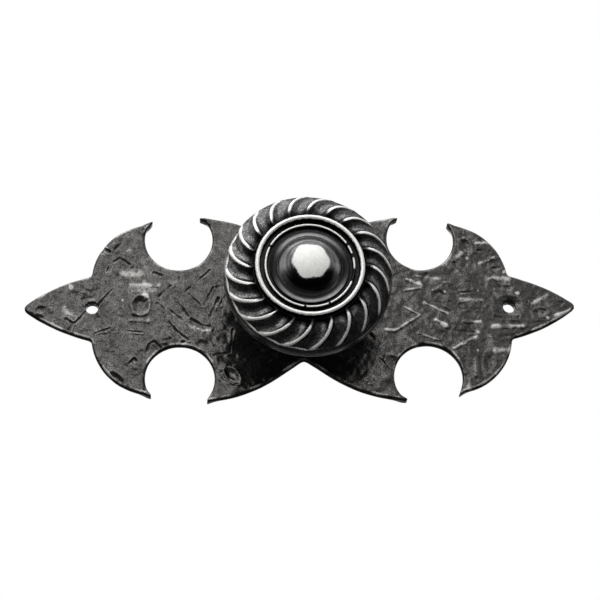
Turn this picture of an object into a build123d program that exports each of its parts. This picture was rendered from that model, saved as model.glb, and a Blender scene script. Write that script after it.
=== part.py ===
from build123d import *
import math
import os

# A cabinet knob on a long pointed backplate, as it is fitted to an upright door.
# Millimetres. The origin is the middle of the plate's back face, on the knob's axis.
# X runs along the plate, +Z is up, and the knob stands out towards -Y.
# Every piece is drawn lying down, with x along the plate, y up the door and z out of
# the door, and is stood up by one quarter turn about X.

# Backplate: the outline of one quarter
plate_length = 133.0
plate_thickness = 3.0
tip_radius = 1.1
tip_sweep = 52.0
point_length = 16.0
notch_y = 8.3
notch_radius = 1.6
point_bulge = 0.9
scallop_x = 29.6
scallop_y = 18.1
scallop_radius = 8.2
outer_horn_angle = 29.0
inner_horn_angle = 135.0
horn_bulge = 3.6
horn_radius = 0.5
apex_y = 13.5
apex_radius = 1.0
flank_slope = 35.0
flank_length = 7.3
plate_edge_radius = 0.4

# Backplate: holes
bolt_clearance = 0.25
end_hole_radius = 1.5
end_hole_inset = 16.1

# Machine screw, as fitted through the door
door_thickness = 16.0
screw_radius = 2.0
screw_length = 25.0
screw_end_chamfer = 0.5
screw_head_radius = 4.0
screw_head_height = 2.6
screw_head_round = 1.4
recess_width = 1.1
recess_length = 4.4
recess_depth = 1.5

# Knob: heights, from the plate's front face outwards
standoff = 17.1
rim_band = 1.6
shoulder_radius = 5.3
ring_height = 1.1
thin_ring_height = 0.6
groove_depth = 0.7
dome_rise = 3.5

# Knob: radius, and widths from the rim inwards
head_radius = 19.6
shoulder_width = 6.6
ring_gap = 0.3
ring_width = 1.2
ring_groove = 1.0
thin_ring_width = 0.6
dome_groove = 0.8
cove_width = 1.6
cove_depth = 0.25

# Knob: foot, neck and the dished back of the head
foot_radius = 9.5
foot_height = 1.4
neck_radius = 6.4
flare_radius = 5.0
dish_depth = 2.6
lip_width = 0.9
tap_spare = 3.0

# Knob: flutes between the swirled crests
flute_count = 20
flute_phase = 10.0
flute_swirl = 26.5
flute_curl = 1.5
flute_radius = 2.0
flute_start = 0.25
flute_start_depth = 0.8
flute_depth = 1.0
flute_middle = 0.55
flute_run_out = 0.15

stand_up = Rot(90, 0, 0)

# Places along the plate, measured in from its ends
notch_x = plate_length / 2 - point_length
end_hole_x = plate_length / 2 - end_hole_inset


def polar(centre, radius, angle):
    """The point on a circle round centre at that angle in degrees."""
    a = math.radians(angle)
    return (centre[0] + radius * math.cos(a), centre[1] + radius * math.sin(a))


def bowed(start, end, bulge):
    """An arc from start to end whose middle stands bulge out to the right of the straight line."""
    dx, dy = end[0] - start[0], end[1] - start[1]
    length = math.hypot(dx, dy)
    middle = (
        (start[0] + end[0]) / 2 + dy / length * bulge,
        (start[1] + end[1]) / 2 - dx / length * bulge,
    )
    return ThreePointArc(start, middle, end)


def horn_tips():
    """The two ends of the scallop's arc, where the horns come to a point."""
    centre = (scallop_x, scallop_y)
    return [polar(centre, scallop_radius, a) for a in (outer_horn_angle, inner_horn_angle)]


def plate_quarter():
    """The quarter of the plate with x and y above zero: point, horn, scallop, horn and flank."""
    outer_horn, inner_horn = horn_tips()
    tip_centre = (plate_length / 2 - tip_radius, 0)
    tip_side = polar(tip_centre, tip_radius, tip_sweep)
    notch = (notch_x, notch_y)
    apex = (0, apex_y)
    flank_end = polar(apex, flank_length, flank_slope)
    scallop_sweep = inner_horn_angle - outer_horn_angle - 360
    edges = [
        Line((0, 0), (plate_length / 2, 0)),
        CenterArc(tip_centre, tip_radius, 0, tip_sweep),
        bowed(tip_side, notch, point_bulge),
        bowed(notch, outer_horn, horn_bulge),
        CenterArc((scallop_x, scallop_y), scallop_radius, outer_horn_angle, scallop_sweep),
        TangentArc(flank_end, inner_horn, tangent=polar((0, 0), 1, flank_slope)),
        Line(flank_end, apex),
        Line(apex, (0, 0)),
    ]
    return make_face(edges)


def corners(outline, x, y):
    """The outline's corners at those distances from its two middle lines."""
    return [
        v for v in outline.vertices()
        if math.isclose(abs(v.X), x, abs_tol=0.01) and math.isclose(abs(v.Y), y, abs_tol=0.01)
    ]


def make_backplate():
    """The mirrored outline with its corners softened, pulled up to its thickness and drilled."""
    quarter = plate_quarter()
    half = quarter + mirror(quarter, about=Plane.XZ)
    outline = (half + mirror(half, about=Plane.YZ)).face()
    outline = fillet(corners(outline, notch_x, notch_y), notch_radius)
    outline = fillet(corners(outline, 0, apex_y), apex_radius)
    for tip in horn_tips():
        outline = fillet(corners(outline, *tip), horn_radius)
    plate = extrude(outline, plate_thickness)
    front = plate.faces().sort_by(Axis.Z)[-1]
    plate = fillet(front.outer_wire().edges(), plate_edge_radius)
    middle = plate_thickness / 2
    through = 2 * plate_thickness
    plate -= Pos(0, 0, middle) * Cylinder(screw_radius + bolt_clearance, through)
    for side in (-1, 1):
        plate -= Pos(side * end_hole_x, 0, middle) * Cylinder(end_hole_radius, through)
    return plate


# Heights on the knob, from the plate's back face
foot_z = plate_thickness
lip_z = foot_z + standoff
shoulder_z = lip_z + rim_band
face_z = shoulder_z + shoulder_radius
dish_z = lip_z + dish_depth

# Radii on the knob, from the rim inwards
shoulder_r = head_radius - shoulder_width
ring_outer = shoulder_r - ring_gap
ring_inner = ring_outer - ring_width
thin_outer = ring_inner - ring_groove
thin_inner = thin_outer - thin_ring_width
cove_outer = thin_inner - dome_groove
dome_r = cove_outer - cove_width


def bead(inner, outer, base, top):
    """A round ring's section, from its outer foot over its top to its inner foot."""
    half = (outer - inner) / 2
    return [
        Line((outer, base), (outer, top - half)),
        ThreePointArc((outer, top - half), (outer - half, top), (inner, top - half)),
        Line((inner, top - half), (inner, base)),
    ]


def back_of_knob():
    """The section's edges from the foot's middle up the neck and out under the head to the lip."""
    foot_top = foot_z + foot_height
    foot_flare = foot_radius - neck_radius
    flare_r = neck_radius + flare_radius
    lip_r = head_radius - lip_width
    foot_curve = CenterArc((foot_radius, foot_top + foot_flare), foot_flare, 180, 90)
    head_curve = CenterArc((flare_r, dish_z - flare_radius), flare_radius, 90, 90)
    return [
        Line((0, foot_z), (foot_radius, foot_z)),
        Line((foot_radius, foot_z), (foot_radius, foot_top)),
        foot_curve,
        Line((neck_radius, foot_top + foot_flare), (neck_radius, dish_z - flare_radius)),
        head_curve,
        TangentArc((flare_r, dish_z), (lip_r, lip_z), tangent=(1, 0)),
        Line((lip_r, lip_z), (head_radius, lip_z)),
    ]


def front_of_knob():
    """The section's edges from the lip over the shoulder and the two rings to the dome's top."""
    floor = face_z - groove_depth
    ball = (dome_r**2 + dome_rise**2) / (2 * dome_rise)
    half_angle = math.asin(dome_r / ball) / 2
    dome_side = (ball * math.sin(half_angle), face_z + dome_rise - ball * (1 - math.cos(half_angle)))
    cove_low = ((dome_r + cove_outer) / 2, face_z - cove_depth)
    return [
        Line((head_radius, lip_z), (head_radius, shoulder_z)),
        CenterArc((head_radius - shoulder_radius, shoulder_z), shoulder_radius, 0, 90),
        Line((head_radius - shoulder_radius, face_z), (shoulder_r, face_z)),
        Line((shoulder_r, face_z), (shoulder_r, floor)),
        Line((shoulder_r, floor), (ring_outer, floor)),
        *bead(ring_inner, ring_outer, floor, face_z + ring_height),
        Line((ring_inner, floor), (thin_outer, floor)),
        *bead(thin_inner, thin_outer, floor, face_z + thin_ring_height),
        Line((thin_inner, floor), (cove_outer, floor)),
        Line((cove_outer, floor), (cove_outer, face_z)),
        ThreePointArc((cove_outer, face_z), cove_low, (dome_r, face_z)),
        ThreePointArc((dome_r, face_z), dome_side, (0, face_z + dome_rise)),
        Line((0, face_z + dome_rise), (0, foot_z)),
    ]


def flute_point(share, depth):
    """The cutter's middle at a share of the way from the shoulder's inner edge over to the rim, held
    off the surface so that it cuts that deep, and turned by the swirl."""
    land = shoulder_width - shoulder_radius
    full = land + shoulder_radius * math.pi / 2
    way = flute_start + share * (full - flute_start)
    tilt = max(0, way - land) / shoulder_radius
    reach = shoulder_radius + flute_radius - depth
    radius = shoulder_r + min(way, land) + reach * math.sin(tilt)
    height = shoulder_z + reach * math.cos(tilt)
    x, y = polar((0, 0), radius, flute_phase - flute_swirl * share**flute_curl)
    return (x, y, height)


def make_flute():
    """One flute's cutter: a round bar bent to one arc, from the ring down over the shoulder to where
    it has run out of the rim."""
    start = flute_point(0, flute_start_depth)
    middle = flute_point(flute_middle, flute_depth)
    end = flute_point(1, -flute_run_out)
    path = ThreePointArc(start, middle, end)
    return sweep(Plane(origin=path @ 0, z_dir=path % 0) * Circle(flute_radius), path)


def make_knob():
    """The turned section, less its ring of flutes and the tapped hole."""
    section = make_face([*back_of_knob(), *front_of_knob()])
    knob = revolve(Plane.XZ * section, Axis.Z)
    cutter = make_flute()
    turns = [Rot(0, 0, 360 / flute_count * i) for i in range(flute_count)]
    knob = knob - [turn * cutter for turn in turns]
    tap_depth = screw_length - door_thickness - plate_thickness + tap_spare
    return knob - Pos(0, 0, foot_z + tap_depth / 2) * Cylinder(screw_radius, tap_depth)


def make_machine_screw():
    """The screw from inside the door: round head with a cross recess, plain shank, chamfered end."""
    head_z = -door_thickness
    back_z = head_z - screw_head_height
    head = Pos(0, 0, head_z - screw_head_height / 2) * Cylinder(screw_head_radius, screw_head_height)
    rim = head.faces().sort_by(Axis.Z)[0].edges()
    head = fillet(rim, screw_head_round)
    shank = Pos(0, 0, head_z + screw_length / 2) * Cylinder(screw_radius, screw_length)
    end = shank.faces().sort_by(Axis.Z)[-1].edges()
    screw = head + chamfer(end, screw_end_chamfer)
    slot = Pos(0, 0, back_z) * Box(recess_length, recess_width, 2 * recess_depth)
    return screw - slot - Rot(0, 0, 90) * slot


pieces = {
    "backplate": make_backplate(),
    "knob": make_knob(),
    "machine_screw": make_machine_screw(),
}
os.makedirs("parts", exist_ok=True)
for name, piece in pieces.items():
    export_step(stand_up * piece, f"parts/{name}.step")
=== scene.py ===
import math
import bpy
import numpy as np
from mathutils import Matrix, Vector
from mathutils.geometry import delaunay_2d_cdt


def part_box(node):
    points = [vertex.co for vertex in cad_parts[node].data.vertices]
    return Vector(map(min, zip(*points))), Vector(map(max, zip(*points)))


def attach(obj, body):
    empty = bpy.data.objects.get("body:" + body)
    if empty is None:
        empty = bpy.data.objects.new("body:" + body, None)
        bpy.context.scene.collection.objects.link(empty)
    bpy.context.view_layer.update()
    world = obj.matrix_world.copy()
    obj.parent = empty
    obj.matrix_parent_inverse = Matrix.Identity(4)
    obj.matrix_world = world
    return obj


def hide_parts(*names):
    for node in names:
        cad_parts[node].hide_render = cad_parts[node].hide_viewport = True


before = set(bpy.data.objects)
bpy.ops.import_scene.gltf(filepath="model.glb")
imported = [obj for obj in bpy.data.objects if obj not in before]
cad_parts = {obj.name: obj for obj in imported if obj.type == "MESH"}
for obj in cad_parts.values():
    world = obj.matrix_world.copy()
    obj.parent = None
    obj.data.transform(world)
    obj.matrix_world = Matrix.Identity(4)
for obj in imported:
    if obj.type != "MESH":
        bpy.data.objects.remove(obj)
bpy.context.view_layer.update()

# A cast knob with swirled flutes on a chased iron backplate, and the screw that holds them.
# Shapes are worked out in millimetres on the plate lying flat: x along the plate, y up the
# door, z out of the door. They are stood up on the door as they go into a mesh.

MM = 0.001

# Camera, as the photograph was taken: a little left of the plate and below it
camera_place = (-34.7, -413.0, -172.3)
camera_azimuth = -4.76
camera_elevation = -22.93
camera_roll = -2.02
camera_lens = 111.2
sensor_width = 36.0

# Backplate outline, one quarter
plate_length = 133.0
plate_thickness = 3.0
tip_radius = 1.1
tip_sweep = 52.0
notch = (50.5, 8.3)
point_bulge = 0.9
scallop = (29.6, 18.1)
scallop_radius = 8.2
outer_horn_angle = 29.0
inner_horn_angle = 135.0
horn_bulge = 3.6
apex_y = 13.5
flank_slope = 35.0
flank_length = 7.3
corner_softness = 0.4
notch_softness = 0.62
notch_reach = 2.5
apex_reach = 3.0
horn_reach = 2.2

# Horn tips that are drawn out: how far the pull reaches round a tip, and a row for each quarter of
# the plate with the signs of its x and y, and how far its outer and its inner tip are pulled away
# from the plate's two middle lines
hook_width = 1.0
hooks = [
    ((-1, 1), (-1.1, 0.9), (0.9, 0.0)),
    ((1, 1), (-0.4, 0.5), (0.8, 0.0)),
    ((-1, -1), (-0.6, 0.45), (-0.3, 0.0)),
    ((1, -1), (-0.1, 0.5), (0.7, 0.0)),
]

# Backplate holes: how far along the plate, and radius
bolt_hole_radius = 2.25
end_hole_radius = 1.5
end_hole_x = 50.4
holes = [(-end_hole_x, end_hole_radius), (0.0, bolt_hole_radius), (end_hole_x, end_hole_radius)]

# Backplate surface, with the insets of the close rows along its edge and round its holes
outline_step = 0.22
coarse_skip = 8
near_edge = 1.5
face_step = 0.25
edge_rows = (0.1, 0.24, 0.42, 0.64)
rim_rows = (0.12, 0.28, 0.48)
face_height = 2.74
face_limit = 2.98
edge_round = 0.75
rim_round = 0.3
boss_radius = 9.8
boss_fade = 1.6
gouge_count = 300

# Backplate walls, row by row from the face down: the share of the way to where the back's edge is
# rounded, the share of the slant, and the inset, which only the last row has: it lies on the back
back_slant = 0.65
back_round = 0.2
wall_rows = [(0.34, 0.08, 0.0), (0.66, 0.4, 0.0), (1.0, 0.85, 0.0), (1.0, 1.0, 0.18)]
wall_rubbed = 0.05

# Knob section, as heights from the plate's back and radii from the knob's axis
foot_z = 3.0
lip_z = 20.1
shoulder_z = 21.7
face_z = 27.0
dish_z = 22.7
dome_rise = 3.5
dome_r = 7.5
cove_outer = 9.1
cove_depth = 0.25
thin_inner = 9.9
thin_outer = 10.5
thin_height = 0.6
groove_depth = 0.7
ring_inner = 11.5
ring_outer = 12.7
ring_height = 1.1
shoulder_r = 13.0
shoulder_radius = 5.3
head_radius = 19.6
lip_r = 18.7
flare_radius = 5.0
neck_radius = 6.4
foot_radius = 9.5
foot_height = 1.4
tap_radius = 2.0
tap_depth = 9.0
section_step = 0.02

# Knob flutes
flute_count = 20
flute_phase = 10.0
flute_swirl = 26.5
flute_curl = 1.5
flute_radius = 2.0
flute_depth = 1.12
flute_middle = 0.5
flute_end = 0.97
crest_land = 0.16
crest_end = 8.3
columns_per_flute = 20

# Knob wear: the side that is rubbed most, the way over the shoulder that unworn places are given,
# how far the dome's middle is rubbed, and where the thin ring's bright line is broken, as pairs of
# a direction and a half width in degrees
worn_towards = 212.0
past_all_wear = 99.0
dome_rubbed = 0.84
thin_ring_breaks = [
    (-14.0, 11.0), (14.0, 3.5), (31.0, 2.5), (152.0, 2.5), (-98.0, 2.0), (-66.0, 1.6),
]

# Screw, whose head sits behind a 16 mm door
screw_seat = -16.0
screw_radius = 2.0
screw_length = 25.0
screw_chamfer = 0.5
thread_pitch = 0.7
thread_depth = 0.36
head_r = 4.0
head_height = 2.6
head_round = 1.15
head_crown = 0.28
recess_width = 1.1
recess_length = 4.4
recess_depth = 1.5
screw_rubbed = 0.3

# Lamps, in metres and watts: place, size, power and whether reflections show it. Below them, the
# place that they are turned to, the share of the world's light that matt surfaces get, and the
# floor's height and how far it reaches to each side
lamps = {
    "key": ((-0.14, -0.56, 0.40), 0.60, 1.7, True),
    "top": ((-0.03, -0.16, 0.60), 0.70, 3.0, True),
    "fill": ((-0.16, -0.66, -0.14), 0.80, 2.0, False),
}
lamps_aim = (0, -0.012, 0)
fill_from_world = 0.08
floor_level = -1.4
floor_reach = 20.0


# Numbers that vary over a surface

def smooth(low, high, value):
    """0 below low and 1 above high, with a soft rise between them."""
    t = np.clip((value - low) / (high - low), 0, 1)
    return t * t * (3 - 2 * t)


def bump(value, middle, width):
    """A bell of height 1 at the middle that has nearly gone two widths away."""
    return np.exp(-(((value - middle) / width) ** 2))


def noise(x, y, cell, seed):
    """Soft noise from -1 to 1: random values at the corners of square cells, eased between them."""
    rng = np.random.default_rng(seed)
    side = 256
    grid = rng.uniform(-1, 1, (side, side))
    u, v = x / cell + 97.3, y / cell + 71.9
    i, j = np.floor(u).astype(int), np.floor(v).astype(int)
    a, b = u - i, v - j
    a, b = a * a * (3 - 2 * a), b * b * (3 - 2 * b)
    i0, j0, i1, j1 = i % side, j % side, (i + 1) % side, (j + 1) % side
    low = grid[i0, j0] * (1 - a) + grid[i1, j0] * a
    high = grid[i0, j1] * (1 - a) + grid[i1, j1] * a
    return low * (1 - b) + high * b


# Lines in the plane

def on_circle(centre, radius, degrees):
    """Points on a circle at those angles."""
    a = np.radians(degrees)
    return np.stack([centre[0] + radius * np.cos(a), centre[1] + radius * np.sin(a)], axis=-1)


def arc(centre, radius, first, last, count):
    """Evenly spaced points on a circle from one angle to another, without the last."""
    return on_circle(centre, radius, np.linspace(first, last, count, endpoint=False))


def straight(start, end, step):
    """Points from start to end, about a step apart, without the end."""
    start, end = np.asarray(start, float), np.asarray(end, float)
    count = max(1, math.ceil(np.hypot(*(end - start)) / step))
    return start + (end - start) * (np.arange(count) / count)[:, None]


def cornered(corners, step):
    """Points along straight lines from corner to corner, without the last corner."""
    return np.vstack([straight(a, b, step) for a, b in zip(corners[:-1], corners[1:])])


def arc_through(start, middle, end, step):
    """Points on the circle through three points, from the first to the last, without the last."""
    (ax, ay), (bx, by), (cx, cy) = start, middle, end
    d = 2 * (ax * (by - cy) + bx * (cy - ay) + cx * (ay - by))
    a2, b2, c2 = ax * ax + ay * ay, bx * bx + by * by, cx * cx + cy * cy
    ox = (a2 * (by - cy) + b2 * (cy - ay) + c2 * (ay - by)) / d
    oy = (a2 * (cx - bx) + b2 * (ax - cx) + c2 * (bx - ax)) / d
    radius = math.hypot(ax - ox, ay - oy)
    angles = np.degrees(np.unwrap([math.atan2(y - oy, x - ox) for x, y in (start, middle, end)]))
    count = max(1, math.ceil(abs(math.radians(angles[2] - angles[0])) * radius / step))
    return on_circle((ox, oy), radius, angles[0] + (angles[2] - angles[0]) * np.arange(count) / count)


def bowed(start, end, bulge, step):
    """An arc whose middle stands that far out to the right of the straight line."""
    dx, dy = end[0] - start[0], end[1] - start[1]
    length = math.hypot(dx, dy)
    middle = (
        (start[0] + end[0]) / 2 + dy / length * bulge,
        (start[1] + end[1]) / 2 - dx / length * bulge,
    )
    return arc_through(start, middle, end, step)


def leaving_along(start, degrees, end, step):
    """An arc that leaves start in that direction and ends at end: its middle lies where the turn
    from that direction to the straight line is halved."""
    dx, dy = end[0] - start[0], end[1] - start[1]
    chord = math.hypot(dx, dy)
    half = (math.atan2(dy, dx) - math.radians(degrees)) / 2
    reach = chord / 2 / math.cos(half)
    way = math.atan2(dy, dx) - half
    middle = (start[0] + reach * math.cos(way), start[1] + reach * math.sin(way))
    return arc_through(start, middle, end, step)


def evenly(points, step):
    """A closed line's points moved to even spacing along it."""
    closed = np.vstack([points, points[:1]])
    along = np.concatenate([[0], np.cumsum(np.hypot(*np.diff(closed, axis=0).T))])
    count = int(round(along[-1] / step))
    at = np.arange(count) / count * along[-1]
    return np.stack([np.interp(at, along, closed[:, k]) for k in (0, 1)], axis=-1)


def softened(points, step, sigma):
    """A closed, evenly spaced line, averaged along itself with a bell of that width."""
    line = points[:, 0] + 1j * points[:, 1]
    turns = np.fft.fftfreq(len(line), step)
    line = np.fft.ifft(np.fft.fft(line) * np.exp(-2 * (math.pi * turns * sigma) ** 2))
    return np.stack([line.real, line.imag], axis=-1)


def inward(points):
    """The direction into the shape at each point of a closed line that runs anticlockwise."""
    along = np.roll(points, -1, axis=0) - np.roll(points, 1, axis=0)
    normal = np.stack([-along[:, 1], along[:, 0]], axis=-1)
    return normal / np.hypot(*normal.T)[:, None]


def nearest(points, line, chunk=2000):
    """For each point, which of the line's points is nearest to it, and how far away that is."""
    which = np.empty(len(points), int)
    gap = np.empty(len(points))
    for k in range(0, len(points), chunk):
        apart = points[k:k + chunk, None, :] - line[None, :, :]
        square = (apart * apart).sum(-1)
        which[k:k + chunk] = square.argmin(1)
        gap[k:k + chunk] = np.sqrt(square.min(1))
    return which, gap


def distance_to(points, line):
    """Each point's distance to a closely spaced line: first to every eighth of the line's points,
    then exactly for the points that came out near."""
    gap = nearest(points, line[::coarse_skip])[1]
    close = np.flatnonzero(gap < near_edge)
    gap[close] = nearest(points[close], line)[1]
    return gap


def rise_inward(points, line, gap):
    """How steeply y rises into the shape at the part of its edge nearest to each point, from -1 to
    1; 0 for points that aren't near the edge."""
    coarse = line[::coarse_skip]
    out = np.zeros(len(points))
    close = np.flatnonzero(gap < near_edge)
    out[close] = inward(coarse)[nearest(points[close], coarse)[0], 1]
    return out


def distance_to_stroke(x, y, corners):
    """Each point's distance to a line through the stroke's corners."""
    best = np.full(x.shape, 1e9)
    for (x0, y0), (x1, y1) in zip(corners[:-1], corners[1:]):
        dx, dy = x1 - x0, y1 - y0
        t = np.clip(((x - x0) * dx + (y - y0) * dy) / (dx * dx + dy * dy), 0, 1)
        best = np.minimum(best, np.hypot(x - x0 - t * dx, y - y0 - t * dy))
    return best


# Meshes

def stand_up(points):
    """Millimetres on the lying plate to metres on the door: z out of the door becomes -Y."""
    return np.stack([points[..., 0], -points[..., 2], points[..., 1]], axis=-1) * MM


def put(name, data):
    """A new object in the scene that holds a mesh, a lamp or a camera."""
    thing = bpy.data.objects.new(name, data)
    bpy.context.scene.collection.objects.link(thing)
    return thing


def add_piece(name, points, faces, rubbed, material):
    """A smooth mesh from points and faces, with how far each point is rubbed bright. That value also
    carries painted highlights, and below zero a darker coat, which on the knob is painted shade.
    """
    mesh = bpy.data.meshes.new(name)
    mesh.from_pydata(stand_up(points).tolist(), [], faces)
    mesh.validate()
    mesh.polygons.foreach_set("use_smooth", np.ones(len(mesh.polygons), bool))
    attribute = mesh.attributes.new("rubbed", "FLOAT", "POINT")
    attribute.data.foreach_set("value", np.asarray(rubbed, np.float32))
    mesh.materials.append(material)
    return put(name, mesh)


def sheet_faces(rows, columns):
    """Four-cornered faces between neighbouring rows of points that close round on themselves."""
    r, c = np.meshgrid(np.arange(rows - 1), np.arange(columns), indexing="ij")
    here, below = r * columns, (r + 1) * columns
    nxt = (c + 1) % columns
    quads = np.stack([here + c, below + c, below + nxt, here + nxt], axis=-1)
    return quads.reshape(-1, 4).tolist()


def fan_faces(centre, ring, outwards=True):
    """Triangles from a centre point to a ring of points."""
    nxt = np.roll(ring, -1)
    pair = (ring, nxt) if outwards else (nxt, ring)
    return np.stack([np.full(len(ring), centre), *pair], axis=-1).tolist()


# Backplate

def outline():
    """The plate's edge, anticlockwise: one quarter's arcs, mirrored twice, with corners softened
    more at the notches and the middle points than at the horns, whose tips are drawn out."""
    step = 0.05
    outer_horn = tuple(on_circle(scallop, scallop_radius, outer_horn_angle))
    inner_horn = tuple(on_circle(scallop, scallop_radius, inner_horn_angle))
    tip_centre = (plate_length / 2 - tip_radius, 0.0)
    tip_side = tuple(on_circle(tip_centre, tip_radius, tip_sweep))
    flank_end = tuple(on_circle((0, apex_y), flank_length, flank_slope))
    sweep = inner_horn_angle - outer_horn_angle - 360
    count = math.ceil(math.radians(-sweep) * scallop_radius / step)
    flank = leaving_along(flank_end, flank_slope, inner_horn, step)
    quarter = np.vstack([
        arc(tip_centre, tip_radius, 0, tip_sweep, 20),
        bowed(tip_side, notch, point_bulge, step),
        bowed(notch, outer_horn, horn_bulge, step),
        on_circle(scallop, scallop_radius, outer_horn_angle + sweep * np.arange(count) / count),
        np.array([inner_horn]),
        flank[:0:-1],
        straight(flank_end, (0, apex_y), step),
    ])
    upper = np.vstack([quarter, [(0, apex_y)], quarter[:0:-1] * (-1, 1)])
    whole = evenly(np.vstack([upper, upper * (-1, -1)]), step)
    sharp = softened(whole, step, corner_softness)
    blunt = softened(whole, step, notch_softness)
    x, y = np.abs(whole).T
    at_notch = bump(np.hypot(x - notch[0], y - notch[1]), 0, notch_reach)
    soft = np.maximum(at_notch, bump(x, 0, apex_reach))
    line = sharp + (blunt - sharp) * soft[:, None]
    for quarter_signs, *pulls in hooks:
        for tip, pull in zip((outer_horn, inner_horn), pulls):
            hook = bump(np.hypot(*(whole * quarter_signs - tip).T), 0, hook_width)
            line = line + np.multiply(quarter_signs, pull) * hook[:, None]
    half_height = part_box("backplate")[1][2] / MM - 0.005
    return line * (1, half_height / np.abs(line[:, 1]).max())


# Chisel cuts over the face: corners, half width and depth
cuts = [
    ([(-63.2, -2.4), (-60.4, -4.2)], 0.50, 0.34),
    ([(-58.8, 2.6), (-57.8, -1.2)], 0.70, 0.16),
    ([(-56.6, -3.0), (-55.0, -4.2), (-55.8, -5.8)], 0.32, 0.28),
    ([(-54.4, -4.0), (-51.6, -0.8)], 0.22, 0.36),
    ([(-49.2, 0.4), (-45.4, 5.0)], 0.22, 0.36),
    ([(-51.6, -0.6), (-50.0, -0.6), (-49.0, -2.4)], 0.24, 0.34),
    ([(-48.2, 14.6), (-48.0, 15.9), (-46.4, 14.6)], 0.30, 0.30),
    ([(-46.8, 9.6), (-46.0, 11.4), (-43.8, 13.0), (-41.6, 11.2)], 0.30, 0.28),
    ([(-46.8, 16.3), (-44.6, 18.4), (-42.0, 19.8)], 0.35, 0.22),
    ([(-45.0, 15.2), (-42.8, 17.4)], 0.30, 0.16),
    ([(-49.6, -6.6), (-46.2, -5.4)], 0.24, 0.34),
    ([(-45.6, -6.0), (-45.4, -13.4)], 0.60, 0.20),
    ([(-42.4, -6.0), (-38.4, -6.4)], 0.22, 0.32),
    ([(-37.4, -11.2), (-36.8, -9.4), (-35.6, -8.8), (-34.0, -10.4)], 0.26, 0.32),
    ([(-41.4, -14.4), (-40.4, -13.0), (-39.0, -14.8), (-38.2, -18.0), (-37.8, -21.0)], 0.26, 0.38),
    ([(-28.2, 4.0), (-22.0, 9.8)], 0.22, 0.32),
    ([(-30.6, 2.2), (-27.4, -2.4)], 0.22, 0.28),
    ([(-32.2, -0.4), (-28.8, -3.4)], 0.22, 0.30),
    ([(-27.2, 3.4), (-24.4, 0.4)], 0.20, 0.26),
    ([(-33.2, -2.6), (-30.4, -6.0), (-27.4, -8.6)], 0.22, 0.34),
    ([(-21.8, -1.4), (-20.2, 2.4)], 0.26, 0.36),
    ([(-26.8, -3.0), (-24.6, -4.6), (-22.2, -5.0)], 0.30, 0.26),
    ([(-21.4, -12.4), (-17.6, -11.6), (-16.8, -5.8)], 0.22, 0.26),
    ([(-35.6, 9.0), (-31.0, 7.2)], 0.30, 0.16),
    ([(-35.0, 1.2), (-33.0, -0.8)], 0.24, 0.26),
    ([(-52.2, 6.0), (-49.0, 7.2)], 0.40, 0.12),
    ([(-40.8, 18.2), (-38.4, 20.6)], 0.35, 0.12),
    ([(-34.4, 2.8), (-31.6, 5.6)], 0.24, 0.20),
    ([(-23.6, 0.6), (-21.4, 5.2)], 0.24, 0.16),
    ([(31.8, -5.4), (33.4, -6.6)], 0.45, 0.10),
    ([(38.6, 3.7), (42.4, 3.9)], 0.26, 0.14),
    ([(38.8, -0.6), (43.2, -0.8)], 0.32, 0.14),
    ([(38.0, -6.4), (41.6, -6.8)], 0.30, 0.12),
    ([(43.8, 14.8), (46.8, 14.8)], 0.40, 0.16),
    ([(47.0, 10.0), (49.2, 10.4)], 0.34, 0.10),
    ([(46.0, 5.2), (50.6, 5.0)], 0.40, 0.14),
    ([(46.2, -7.8), (51.2, -7.6)], 0.45, 0.15),
    ([(46.6, -2.9), (52.4, -2.9)], 0.28, 0.15),
    ([(37.6, 11.6), (39.6, 9.6)], 0.34, 0.10),
    ([(42.4, -13.4), (42.4, -19.6)], 0.50, 0.08),
    ([(22.4, 1.4), (24.6, 0.2)], 0.30, 0.09),
    ([(29.6, 4.6), (33.6, 5.6)], 0.36, 0.08),
    ([(17.8, -13.2), (20.4, -16.6)], 0.30, 0.10),
    ([(59.0, -1.4), (62.4, 0.4)], 0.50, 0.09),
    ([(55.2, -4.4), (58.8, -4.2)], 0.40, 0.08),
]

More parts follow.
